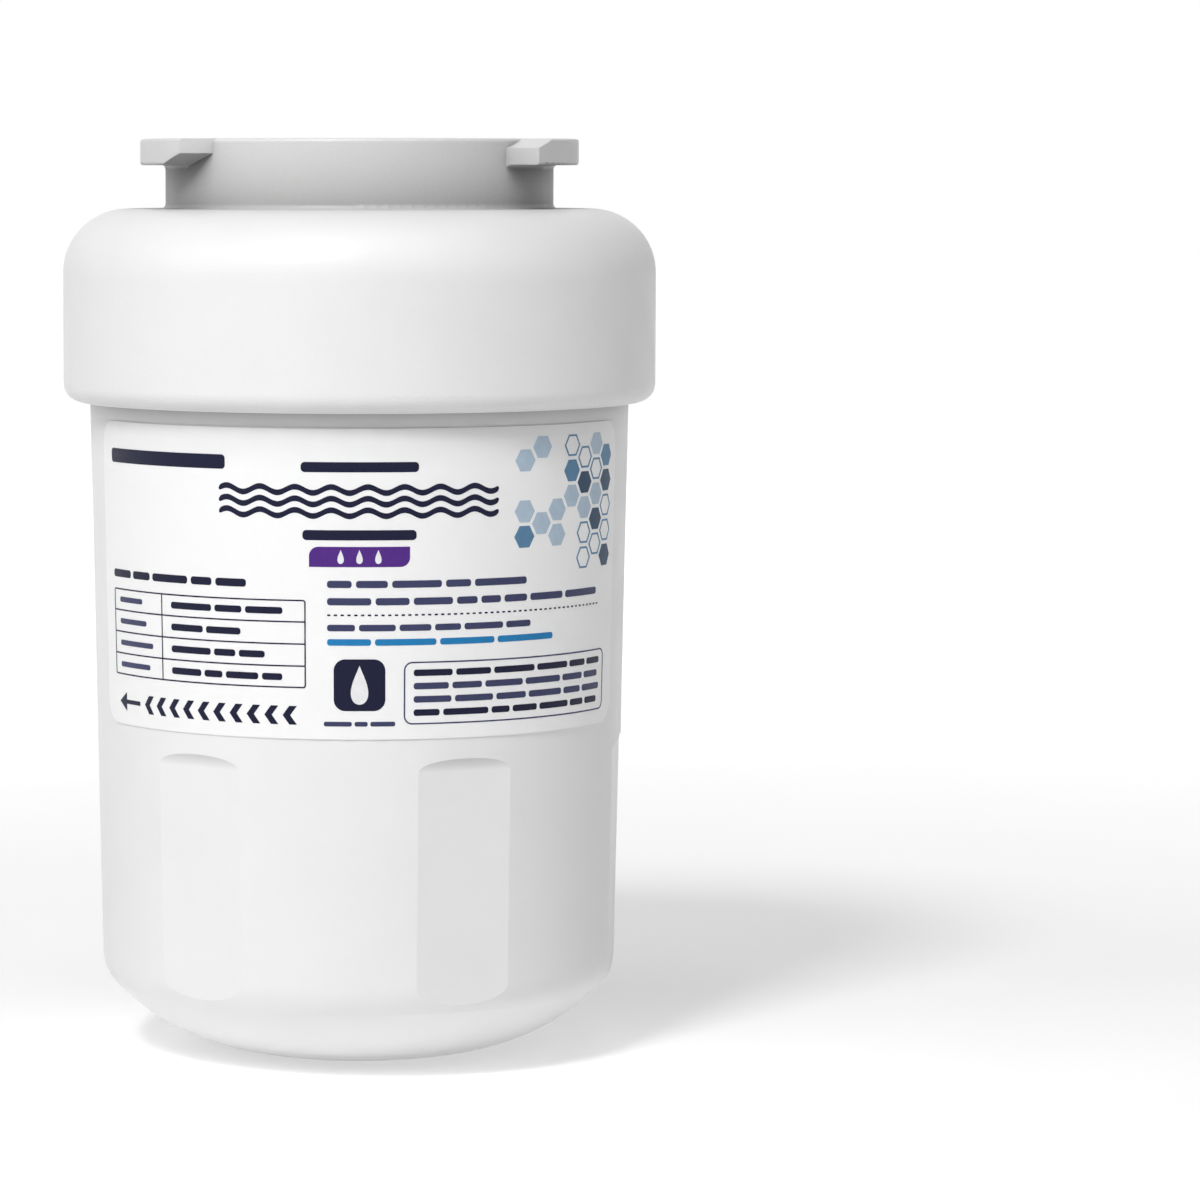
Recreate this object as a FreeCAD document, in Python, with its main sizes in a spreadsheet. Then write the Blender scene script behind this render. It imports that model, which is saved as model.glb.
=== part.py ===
"""Refrigerator water filter cartridge: a welded plastic housing around a wrapped carbon block.

The frame has +Z up the cartridge's axis and its origin at the middle of the flat foot. The printed
front faces -Y. Every length is in millimetres and every angle in degrees.
"""

import FreeCAD
import Part
import Sketcher

import math
import os

# Driving dimensions: name, value and what it measures
DIMENSIONS = [
    ("collar_diameter", 85.85, "outside of the collar, the widest part"),
    ("collar_base", 94.28, "foot to the collar's lower lip"),
    ("collar_height", 27.8, "lip to the flat top of the collar"),
    ("collar_shoulder_radius", 9.3, "round over the collar's top edge"),
    ("collar_lip_radius", 2.6, "round under the collar's lower edge"),
    ("roof_thickness", 3.6, "wall under the collar's flat top"),
    ("neck_diameter", 56.15, "outside of the neck"),
    ("neck_height", 10.0, "collar top to the neck's rim"),
    ("neck_wall", 3.7, "neck wall around the well"),
    ("neck_root_radius", 0.75, "fillet where the neck meets the collar"),
    ("neck_rim_radius", 0.5, "round on both edges of the neck's rim"),
    ("lug_reach", 3.63, "how far a bayonet lug stands out from the neck"),
    ("lug_width", 38.1, "between the two end faces of a lug"),
    ("lug_thickness", 3.75, "height of a lug"),
    ("lug_edge_radius", 0.4, "round on a lug's outer edges"),
    ("lug_root_radius", 0.6, "fillet under a lug, where it meets the neck"),
    ("lead_ramp_length", 4.3, "sloped underside of a lug's leading end"),
    ("lead_ramp_rise", 1.65, "how far that slope rises"),
    ("tail_bevel_length", 3.3, "sloped top of a lug's trailing end"),
    ("tail_bevel_drop", 1.35, "how far that slope drops"),
    ("well_depth", 18.0, "neck rim down to the floor of the port well"),
    ("deck_thickness", 3.2, "wall under the well's floor"),
    ("barrel_diameter", 35.0, "lower, wide step of the port"),
    ("barrel_height", 8.5, "well floor to the port's shoulder"),
    ("spigot_diameter", 13.0, "upper, narrow step of the port"),
    ("spigot_height", 8.5, "shoulder to the spigot's tip"),
    ("spigot_bevel", 0.8, "lead-in on the spigot's tip"),
    ("outlet_bore", 7.0, "hole through the spigot for filtered water"),
    ("inlet_hole", 3.2, "each hole in the shoulder for raw water"),
    ("inlet_count", 6, "number of those holes"),
    ("inlet_seal_section", 2.62, "thickness of the inlet O-ring"),
    ("inlet_groove_depth", 2.0, "groove in the barrel"),
    ("inlet_groove_width", 3.4, "groove in the barrel"),
    ("inlet_groove_height", 4.6, "well floor to the middle of that groove"),
    ("outlet_seal_section", 1.78, "thickness of the outlet O-ring"),
    ("outlet_groove_depth", 1.35, "groove in the spigot"),
    ("outlet_groove_width", 2.4, "groove in the spigot"),
    ("outlet_groove_height", 4.4, "shoulder to the middle of that groove"),
    ("seal_clearance", 0.05, "between an O-ring and what it seals"),
    ("socket_wall", 2.6, "tube under the deck that takes the element's stub"),
    ("socket_length", 12.9, "how far that tube hangs below the deck"),
    ("socket_rise", 2.4, "how far its bore runs up past the well's floor"),
    ("collar_step", 3.825, "how far the collar stands out from the sump at the lip"),
    ("sump_draft", 1.12, "taper of the sump's side, in degrees"),
    ("sump_wall", 2.6, "sump wall"),
    ("seat_drop", 2.9, "collar roof down to the seat that the sump's rim is welded to"),
    ("seat_overhang", 0.4, "weld seat inside the sump's rim"),
    ("skirt_clearance", 0.15, "between the sump and the collar around it"),
    ("foot_diameter", 26.2, "flat that the cartridge stands on"),
    ("dome_radius", 31.1, "curve from the foot outwards"),
    ("knuckle_radius", 5.85, "tighter curve from the dome into the side"),
    ("flat_count", 6, "finger flats around the sump"),
    ("flat_depth", 0.65, "depth of a flat at its middle"),
    ("flat_top", 44.3, "foot to where a flat starts to run out"),
    ("cove_radius", 3.0, "curve at the top of a flat"),
    ("flat_phase", -7.0, "turn of the first flat from +X, in degrees"),
    ("label_drop", 2.05, "collar lip to the label's top edge"),
    ("label_height", 43.1, "label, along the axis"),
    ("label_width", 92.52, "label, around the sump at its own middle height"),
    ("label_corner", 3.5, "round of the label's corners"),
    ("label_thickness", 0.12, "printed film"),
    ("label_glue", 0.05, "adhesive between the film and the sump"),
    ("flow_gap", 1.5, "between an end cap and the sump, for the water to pass"),
    ("block_bore", 14.0, "hole up the middle of the carbon block"),
    ("wrap_thickness", 1.0, "felt prefilter around the block"),
    ("net_thickness", 0.6, "plastic net around the felt"),
    ("net_rows", 7, "rows of openings in the net"),
    ("net_columns", 14, "openings around the net"),
    ("net_strand", 2.2, "strand between two openings"),
    ("sleeve_clearance", 0.05, "between the block, felt, net and caps"),
    ("cap_plate", 2.5, "end plate of both end caps"),
    ("cap_skirt_wall", 1.2, "rim of an end cap around the block"),
    ("cap_skirt_depth", 5.0, "how far that rim reaches along the block"),
    ("glue_thickness", 0.8, "hot melt between a cap and the ends of the block, felt and net"),
    ("plate_rise", 0.6, "knuckle's end up to the lower cap's plate"),
    ("pedestal_diameter", 23.0, "ring that the element stands on"),
    ("pedestal_wall", 2.5, "wall of that ring"),
    ("drain_count", 4, "notches in that ring"),
    ("drain_width", 5.0, "each notch, around the ring"),
    ("drain_height", 6.0, "each notch, up from the sump's floor"),
    ("fin_count", 4, "fins that centre the lower cap"),
    ("fin_width", 6.0, "each fin, around the cap"),
    ("fin_clearance", 0.3, "between a fin and the sump"),
    ("stub_diameter", 15.9, "tube on the upper cap that carries filtered water"),
    ("stub_clearance", 0.1, "between the stub and its socket"),
    ("stub_gap", 2.0, "stub's tip to the top of its socket"),
    ("stub_bore", 8.0, "hole through the stub"),
    ("stub_groove_depth", 1.35, "O-ring grooves in the stub"),
    ("stub_groove_width", 2.4, "O-ring grooves in the stub"),
    ("stub_groove_height", 6.0, "upper cap's plate to the first groove"),
    ("stub_groove_pitch", 5.0, "first groove to the second"),
]

FULL_TURN = 360.0
OVERSHOOT = 1.0  # how far a cutting outline runs past the face it cuts

doc = FreeCAD.newDocument("water_filter_cartridge")
sheet = doc.addObject("Spreadsheet::Sheet", "Sizes")
for row, (name, number, meaning) in enumerate(DIMENSIONS, start=1):
    sheet.set(f"A{row}", meaning)
    sheet.set(f"B{row}", str(number))
    sheet.setAlias(f"B{row}", name)
doc.recompute()


def size(name):
    """The cell of one driving dimension, as it is written in an expression."""
    return f"Sizes.{name}"


def half(name):
    return f"({size(name)} / 2)"


def value(expression):
    """The number that an expression gives now."""
    found = sheet.evalExpression(expression)
    return float(getattr(found, "Value", found))


# Heights above the foot, as expressions
COLLAR_BASE = size("collar_base")
COLLAR_TOP = f"({COLLAR_BASE} + {size('collar_height')})"
NECK_TOP = f"({COLLAR_TOP} + {size('neck_height')})"
LUG_BASE = f"({NECK_TOP} - {size('lug_thickness')})"
WELL_FLOOR = f"({NECK_TOP} - {size('well_depth')})"
DECK_UNDERSIDE = f"({WELL_FLOOR} - {size('deck_thickness')})"
SHOULDER = f"({WELL_FLOOR} + {size('barrel_height')})"
SPIGOT_TIP = f"({SHOULDER} + {size('spigot_height')})"
INLET_GROOVE_MIDDLE = f"({WELL_FLOOR} + {size('inlet_groove_height')})"
OUTLET_GROOVE_MIDDLE = f"({SHOULDER} + {size('outlet_groove_height')})"
ROOF_UNDERSIDE = f"({COLLAR_TOP} - {size('roof_thickness')})"
RIM_TOP = f"({ROOF_UNDERSIDE} - {size('seat_drop')})"
UPPER_PLATE_TOP = f"({DECK_UNDERSIDE} - {size('socket_length')})"
UPPER_PLATE_LOW = f"({UPPER_PLATE_TOP} - {size('cap_plate')})"
BLOCK_TOP = f"({UPPER_PLATE_LOW} - {size('glue_thickness')})"
SOCKET_ROOF = f"({WELL_FLOOR} + {size('socket_rise')})"
STUB_TIP = f"({SOCKET_ROOF} - {size('stub_gap')})"
LABEL_TOP = f"({COLLAR_BASE} - {size('label_drop')})"
LABEL_BOTTOM = f"({LABEL_TOP} - {size('label_height')})"

# Radii from the axis, and the heights that follow from the sump's curve, as expressions
COLLAR = half("collar_diameter")
DRAFT = f"({size('sump_draft')} * 1 deg)"


def sump_side(height, outwards="0"):
    """Radius of the sump's tapered side at a height, moved outwards square to the surface."""
    at_lip = f"{COLLAR} - {size('collar_step')}"
    return f"({at_lip} + ({height} - {COLLAR_BASE}) * tan({DRAFT}) + {outwards} / cos({DRAFT}))"


def knuckle_height():
    """Height of the knuckle's centre: its arc touches both the dome's arc and the tapered side."""
    dome = size("dome_radius")
    knuckle = size("knuckle_radius")
    slope = f"tan({DRAFT})"
    reach = f"({sump_side('0', f'(0 - {knuckle})')} - {half('foot_diameter')})"
    middle = f"({dome} - {reach} * {slope})"
    stretch = f"(1 + {slope} ^ 2)"
    spread = f"({reach} ^ 2 + {dome} ^ 2 - ({dome} - {knuckle}) ^ 2)"
    return f"(({middle} - sqrt({middle} ^ 2 - {stretch} * {spread})) / {stretch})"


KNUCKLE_HEIGHT = knuckle_height()
KNUCKLE_CENTRE = sump_side(KNUCKLE_HEIGHT, f"(0 - {size('knuckle_radius')})")
LOWER_PLATE = f"({KNUCKLE_HEIGHT} + {size('plate_rise')})"
LOWER_PLATE_TOP = f"({LOWER_PLATE} + {size('cap_plate')})"
BLOCK_BOTTOM = f"({LOWER_PLATE_TOP} + {size('glue_thickness')})"
LABEL_MIDDLE = f"(({LABEL_BOTTOM} + {LABEL_TOP}) / 2)"
LABEL_ANGLE = f"({size('label_width')} / {sump_side(LABEL_MIDDLE)} * 1 rad)"

NECK = half("neck_diameter")
WELL = f"({NECK} - {size('neck_wall')})"
LUG = f"({NECK} + {size('lug_reach')})"
BARREL = half("barrel_diameter")
SPIGOT = half("spigot_diameter")
OUTLET = half("outlet_bore")
STUB = half("stub_diameter")
SOCKET = f"({STUB} + {size('stub_clearance')})"
SOCKET_OUTSIDE = f"({SOCKET} + {size('socket_wall')})"
INLET_GROOVE = f"({BARREL} - {size('inlet_groove_depth')})"
OUTLET_GROOVE = f"({SPIGOT} - {size('outlet_groove_depth')})"
STUB_GROOVE = f"({STUB} - {size('stub_groove_depth')})"
INLET_CIRCLE = f"(({SOCKET_OUTSIDE} + {INLET_GROOVE}) / 2)"
SUMP_INWARDS = f"(0 - {size('sump_wall')})"
CAP = f"({sump_side(LOWER_PLATE, SUMP_INWARDS)} - {size('flow_gap')})"
CAP_INSIDE = f"({CAP} - {size('cap_skirt_wall')})"
NET = f"({CAP_INSIDE} - {size('sleeve_clearance')})"
NET_INSIDE = f"({NET} - {size('net_thickness')})"
WRAP = f"({NET_INSIDE} - {size('sleeve_clearance')})"
WRAP_INSIDE = f"({WRAP} - {size('wrap_thickness')})"
BLOCK = f"({WRAP_INSIDE} - {size('sleeve_clearance')})"
BLOCK_BORE = half("block_bore")


# Sketch and feature helpers
def new_body(label):
    body = doc.addObject("PartDesign::Body", label)
    body.Label = label
    return body


def origin_of(body, role):
    return next(item for item in body.Origin.OriginFeatures if item.Role == role)


def new_sketch(body, name, plane="XZ_Plane", height=None):
    """An empty sketch on one of the body's own origin planes, lifted along Z if a height is given."""
    sketch = body.newObject("Sketcher::SketchObject", name)
    sketch.AttachmentSupport = [(origin_of(body, plane), "")]
    sketch.MapMode = "FlatFace"
    if height is not None:
        sketch.setExpression("AttachmentOffset.Base.z", height)
    doc.recompute()
    return sketch


def fix(sketch, kind, *where, to):
    """Adds one driving dimension to a sketch and binds it to an expression."""
    start = math.radians(value(to)) if kind == "Angle" else value(to)
    index = sketch.addConstraint(Sketcher.Constraint(kind, *where, start))
    sketch.setExpression(f"Constraints[{index}]", to)


def fix_point(sketch, geometry, end, x, y):
    fix(sketch, "DistanceX", -1, 1, geometry, end, to=x)
    fix(sketch, "DistanceY", -1, 1, geometry, end, to=y)


def draw_outline(sketch, corners):
    """A closed outline, each corner given by two expressions.

    A third expression makes the side after that corner an arc of that radius, turning clockwise.
    """
    points = [FreeCAD.Vector(value(corner[0]), value(corner[1]), 0) for corner in corners]
    sides = []
    for corner, start, end in zip(corners, points, points[1:] + points[:1]):
        if len(corner) == 3:
            arc = sketch.addGeometry(clockwise_arc(start, end, value(corner[2])))
            fix(sketch, "Radius", arc, to=corner[2])
            sides.append((arc, 2, 1))
        else:
            sides.append((sketch.addGeometry(Part.LineSegment(start, end)), 1, 2))
    for side, following in zip(sides, sides[1:] + sides[:1]):
        sketch.addConstraint(
            Sketcher.Constraint("Coincident", side[0], side[2], following[0], following[1])
        )
    for corner, side in zip(corners, sides):
        fix_point(sketch, side[0], side[1], corner[0], corner[1])
    doc.recompute()


def clockwise_arc(start, end, radius):
    """The shorter arc from start to end with its centre on the right of the way."""
    chord = end - start
    across = FreeCAD.Vector(chord.y, -chord.x, 0)
    across.normalize()
    rise = math.sqrt(radius**2 - (chord.Length / 2) ** 2)
    centre = start + chord * 0.5 + across * rise
    circle = Part.Circle(centre, FreeCAD.Vector(0, 0, 1), radius)
    angles = [math.atan2(point.y - centre.y, point.x - centre.x) for point in (end, start)]
    return Part.ArcOfCircle(circle, *angles)


def draw_circle(sketch, x, y, radius):
    centre = FreeCAD.Vector(value(x), value(y), 0)
    circle = sketch.addGeometry(Part.Circle(centre, FreeCAD.Vector(0, 0, 1), value(radius)))
    fix_point(sketch, circle, 3, x, y)
    fix(sketch, "Radius", circle, to=radius)
    doc.recompute()


def turn(body, kind, name, sketch, angle=None):
    """A Revolution or Groove of a sketch about the cartridge's axis."""
    feature = body.newObject(f"PartDesign::{kind}", name)
    feature.Profile = sketch
    feature.ReferenceAxis = (sketch, ["V_Axis"])
    feature.Angle = FULL_TURN
    if angle is not None:
        feature.Midplane = True
        feature.setExpression("Angle", angle)
    doc.recompute()
    return feature


def turn_outline(body, kind, name, corners, angle=None):
    sketch = new_sketch(body, f"{name}_outline")
    draw_outline(sketch, corners)
    return turn(body, kind, name, sketch, angle)


def around(body, name, feature, count):
    """Repeats a feature evenly around the axis."""
    pattern = body.newObject("PartDesign::PolarPattern", name)
    pattern.Originals = [feature]
    pattern.Axis = (origin_of(body, "Z_Axis"), [""])
    pattern.Angle = FULL_TURN
    pattern.setExpression("Occurrences", count)
    body.Tip = pattern
    doc.recompute()
    return pattern


def ring_edges(feature, radius, height):
    """Names of a feature's circular edges of that radius at that height."""
    wanted = (value(radius), value(height))
    names = []
    for index, edge in enumerate(feature.Shape.Edges, start=1):
        if isinstance(edge.Curve, Part.Circle):
            found = (edge.Curve.Radius, edge.Curve.Center.z)
            if math.dist(found, wanted) < 1e-4:
                names.append(f"Edge{index}")
    return names


def dress(body, kind, name, feature, edges, amount):
    """A Fillet or Chamfer of named edges."""
    dressed = body.newObject(f"PartDesign::{kind}", name)
    dressed.Base = (feature, edges)
    dressed.setExpression("Radius" if kind == "Fillet" else "Size", amount)
    doc.recompute()
    return dressed


def make_ring(label, inside, outside, bottom, top):
    """A plain tube, as the difference of two cylinders."""
    radii = {"outside": outside, "inside": inside}
    cylinders = {}
    for side, radius in radii.items():
        cylinder = doc.addObject("Part::Cylinder", f"{label}_{side}")
        cylinder.setExpression("Radius", radius)
        cylinder.setExpression("Height", f"{top} - {bottom}")
        cylinder.setExpression("Placement.Base.z", bottom)
        cylinders[side] = cylinder
    ring = doc.addObject("Part::Cut", label)
    ring.Label = label
    ring.Base = cylinders["outside"]
    ring.Tool = cylinders["inside"]
    doc.recompute()
    return ring


def make_o_ring(label, groove, section, height):
    """A rubber ring in its groove, a hair clear of the groove's floor."""
    ring = doc.addObject("Part::Torus", label)
    ring.Label = label
    ring.setExpression("Radius1", f"{groove} + {size('seal_clearance')} + {section} / 2")
    ring.setExpression("Radius2", f"{section} / 2")
    ring.setExpression("Placement.Base.z", height)
    doc.recompute()
    return ring


# Sump: the domed cup with its finger flats
def draw_bowl(sketch, inset):
    """Half the cup's section: foot, dome, knuckle and tapered side, drawn inset from the outside."""
    foot = half("foot_diameter")
    dome = f"({size('dome_radius')} - {inset})"
    knuckle = f"({size('knuckle_radius')} - {inset})"
    rim = sump_side(RIM_TOP, f"(0 - {inset})")
    dome_centre = FreeCAD.Vector(value(foot), value(size("dome_radius")), 0)
    knuckle_centre = FreeCAD.Vector(value(KNUCKLE_CENTRE), value(KNUCKLE_HEIGHT), 0)
    across = knuckle_centre - dome_centre
    lean = math.atan2(across.y, across.x)
    tilt = math.radians(value(DRAFT))

    def on_arc(centre, radius, angle):
        return centre + FreeCAD.Vector(math.cos(angle), math.sin(angle), 0) * value(radius)

    axis_low = FreeCAD.Vector(0, value(inset), 0)
    foot_edge = FreeCAD.Vector(value(foot), value(inset), 0)
    side_low = on_arc(knuckle_centre, knuckle, -tilt)
    side_high = FreeCAD.Vector(value(rim), value(RIM_TOP), 0)
    axis_high = FreeCAD.Vector(0, value(RIM_TOP), 0)
    up = FreeCAD.Vector(0, 0, 1)
    foot_line = sketch.addGeometry(Part.LineSegment(axis_low, foot_edge))
    dome_arc = sketch.addGeometry(
        Part.ArcOfCircle(Part.Circle(dome_centre, up, value(dome)), -math.pi / 2, lean)
    )
    knuckle_arc = sketch.addGeometry(
        Part.ArcOfCircle(Part.Circle(knuckle_centre, up, value(knuckle)), lean, -tilt)
    )
    side_line = sketch.addGeometry(Part.LineSegment(side_low, side_high))
    rim_line = sketch.addGeometry(Part.LineSegment(side_high, axis_high))
    axis_line = sketch.addGeometry(Part.LineSegment(axis_high, axis_low))

    for first, second in ((foot_line, dome_arc), (dome_arc, knuckle_arc), (knuckle_arc, side_line)):
        sketch.addConstraint(Sketcher.Constraint("Tangent", first, 2, second, 1))
    for first, second in ((side_line, rim_line), (rim_line, axis_line), (axis_line, foot_line)):
        sketch.addConstraint(Sketcher.Constraint("Coincident", first, 2, second, 1))
    fix_point(sketch, foot_line, 1, "0", inset)
    fix_point(sketch, foot_line, 2, foot, inset)
    fix(sketch, "Radius", dome_arc, to=dome)
    fix(sketch, "Radius", knuckle_arc, to=knuckle)
    fix_point(sketch, side_line, 2, rim, RIM_TOP)
    fix(sketch, "Angle", side_line, to=f"90 deg - {DRAFT}")
    fix_point(sketch, axis_line, 1, "0", RIM_TOP)
    doc.recompute()


def draw_flat(sketch):
    """Section of one finger flat's cutter: a tapered plane that ends in a cove."""
    depth = f"(0 - {size('flat_depth')})"
    low = f"(0 - {OVERSHOOT})"
    cove = size("cove_radius")
    face_low = sump_side(low, depth)
    face_top = sump_side(size("flat_top"), depth)
    cove_end = f"({face_top} + {cove} * cos({DRAFT}))"
    cove_top = f"({size('flat_top')} - {cove} * sin({DRAFT}) + {cove})"
    far = f"({cove_end} + {cove})"
    draw_outline(
        sketch,
        [
            (face_low, low),
            (face_top, size("flat_top"), cove),
            (cove_end, cove_top),
            (far, cove_top),
            (far, low),
        ],
    )


def make_sump():
    body = new_body("sump")
    outside = new_sketch(body, "cup_outline")
    draw_bowl(outside, "0")
    turn(body, "Revolution", "cup", outside)
    inside = new_sketch(body, "cup_cavity_outline")
    draw_bowl(inside, size("sump_wall"))
    turn(body, "Groove", "cup_cavity", inside)
    cutter = new_sketch(body, "flat_outline")
    draw_flat(cutter)
    flat = body.newObject("PartDesign::Pocket", "finger_flat")
    flat.Profile = cutter
    flat.Midplane = True
    flat.setExpression("Length", COLLAR)
    doc.recompute()
    around(body, "finger_flats", flat, size("flat_count"))
    body.Placement.Rotation.Axis = FreeCAD.Vector(0, 0, 1)
    body.setExpression("Placement.Rotation.Angle", f"{size('flat_phase')} * 1 deg")
    doc.recompute()
    return body


# Head: collar, neck, bayonet lugs and the stepped port
def make_head():
    body = new_body("head")
    envelope = turn_outline(
        body,
        "Revolution",
        "envelope",
        [
            ("0", COLLAR_BASE),
            (COLLAR, COLLAR_BASE),
            (COLLAR, COLLAR_TOP),
            (NECK, COLLAR_TOP),
            (NECK, NECK_TOP),
            ("0", NECK_TOP),
        ],
    )
    rounds = [
        ("collar_shoulder", COLLAR, COLLAR_TOP),
        ("collar_lip", COLLAR, COLLAR_BASE),
        ("neck_root", NECK, COLLAR_TOP),
        ("neck_rim", NECK, NECK_TOP),
    ]
    rounded = envelope
    for name, radius, height in rounds:
        edges = ring_edges(rounded, radius, height)
        rounded = dress(body, "Fillet", name, rounded, edges, size(f"{name}_radius"))
    add_lugs(body)
    turn_outline(
        body,
        "Groove",
        "port_well",
        [
            (BARREL, WELL_FLOOR),
            (WELL, WELL_FLOOR),
            (WELL, f"({NECK_TOP} + {OVERSHOOT})"),
            ("0", f"({NECK_TOP} + {OVERSHOOT})"),
            ("0", SPIGOT_TIP),
            (SPIGOT, SPIGOT_TIP),
            (SPIGOT, SHOULDER),
            (BARREL, SHOULDER),
        ],
    )
    cut_underside(body)
    return cut_port(body)


def add_lugs(body):
    """Two lugs, half a turn apart: each has a ramp under one end and a bevel over the other."""
    end = half("lug_width")
    back_ramp = f"({end} - {size('lead_ramp_length')})"
    front_bevel = f"({size('tail_bevel_length')} - {end})"
    side = new_sketch(body, "lug_outline", "YZ_Plane")
    draw_outline(
        side,
        [
            (f"(0 - {end})", LUG_BASE),
            (back_ramp, LUG_BASE),
            (end, f"({LUG_BASE} + {size('lead_ramp_rise')})"),
            (end, NECK_TOP),
            (front_bevel, NECK_TOP),
            (f"(0 - {end})", f"({NECK_TOP} - {size('tail_bevel_drop')})"),
        ],
    )
    lug = body.newObject("PartDesign::Pad", "lug")
    lug.Profile = side
    lug.setExpression("Length", LUG)
    doc.recompute()
    around(body, "lugs", lug, "2")
    beyond = f"({LUG} + {size('lug_width')})"
    trimmed = turn_outline(
        body,
        "Groove",
        "lug_tips",
        [
            (LUG, LUG_BASE),
            (beyond, LUG_BASE),
            (beyond, f"({NECK_TOP} + {OVERSHOOT})"),
            (LUG, f"({NECK_TOP} + {OVERSHOOT})"),
        ],
    )
    roots = ring_edges(trimmed, NECK, LUG_BASE)
    rooted = dress(body, "Fillet", "lug_roots", trimmed, roots, size("lug_root_radius"))
    outer = ring_edges(rooted, LUG, LUG_BASE) + ring_edges(rooted, LUG, NECK_TOP)
    dress(body, "Fillet", "lug_edges", rooted, outer, size("lug_edge_radius"))


def cut_underside(body):
    """The hollow under the head: skirt, weld seat, roof, deck and the socket for the stub."""
    rim_inside = f"({sump_side(RIM_TOP, SUMP_INWARDS)} - {size('seat_overhang')})"
    turn_outline(
        body,
        "Groove",
        "underside",
        [
            ("0", COLLAR_BASE),
            (sump_side(COLLAR_BASE, size("skirt_clearance")), COLLAR_BASE),
            (sump_side(RIM_TOP, size("skirt_clearance")), RIM_TOP),
            (rim_inside, RIM_TOP),
            (rim_inside, ROOF_UNDERSIDE),
            (NECK, ROOF_UNDERSIDE),
            (NECK, DECK_UNDERSIDE),
            (SOCKET_OUTSIDE, DECK_UNDERSIDE),
            (SOCKET_OUTSIDE, UPPER_PLATE_TOP),
            ("0", UPPER_PLATE_TOP),
        ],
    )
    turn_outline(
        body,
        "Groove",
        "stub_socket",
        [
            ("0", UPPER_PLATE_TOP),
            (SOCKET, UPPER_PLATE_TOP),
            (SOCKET, SOCKET_ROOF),
            (OUTLET, SOCKET_ROOF),
            (OUTLET, SPIGOT_TIP),
            ("0", SPIGOT_TIP),
        ],
    )


def cut_groove(body, name, floor, outside, middle, width):
    low = f"({middle} - {width} / 2)"
    high = f"({middle} + {width} / 2)"
    past = f"({outside} + {OVERSHOOT})"
    return turn_outline(body, "Groove", name, [(floor, low), (past, low), (past, high), (floor, high)])


def cut_port(body):
    """O-ring grooves, inlet holes and the edges of the port and the neck."""
    cut_groove(
        body, "inlet_groove", INLET_GROOVE, BARREL, INLET_GROOVE_MIDDLE, size("inlet_groove_width")
    )
    cut_groove(
        body, "outlet_groove", OUTLET_GROOVE, SPIGOT, OUTLET_GROOVE_MIDDLE, size("outlet_groove_width")
    )
    circle = new_sketch(body, "inlet_hole_outline", "XY_Plane", SHOULDER)
    draw_circle(circle, INLET_CIRCLE, "0", half("inlet_hole"))
    hole = body.newObject("PartDesign::Pocket", "inlet_hole")
    hole.Profile = circle
    hole.setExpression("Length", f"{size('barrel_height')} + {size('deck_thickness')}")
    doc.recompute()
    holes = around(body, "inlet_holes", hole, size("inlet_count"))
    tip = ring_edges(holes, SPIGOT, SPIGOT_TIP)
    bevelled = dress(body, "Chamfer", "spigot_tip", holes, tip, size("spigot_bevel"))
    mouth = ring_edges(bevelled, WELL, NECK_TOP)
    dress(body, "Fillet", "well_mouth", bevelled, mouth, size("neck_rim_radius"))
    return body


# Filter element: caps, block and sleeves
def make_top_end_cap():
    body = new_body("top_end_cap")
    skirt_low = f"({UPPER_PLATE_LOW} - {size('cap_skirt_depth')})"
    turn_outline(
        body,
        "Revolution",
        "cap",
        [
            (half("stub_bore"), UPPER_PLATE_LOW),
            (CAP_INSIDE, UPPER_PLATE_LOW),
            (CAP_INSIDE, skirt_low),
            (CAP, skirt_low),
            (CAP, UPPER_PLATE_TOP),
            (STUB, UPPER_PLATE_TOP),
            (STUB, STUB_TIP),
            (half("stub_bore"), STUB_TIP),
        ],
    )
    for number, middle in enumerate(stub_groove_middles(), start=1):
        cut_groove(body, f"stub_groove_{number}", STUB_GROOVE, STUB, middle, size("stub_groove_width"))
    return body


def stub_groove_middles():
    first = f"({UPPER_PLATE_TOP} + {size('stub_groove_height')})"
    return [first, f"({first} + {size('stub_groove_pitch')})"]


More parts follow.
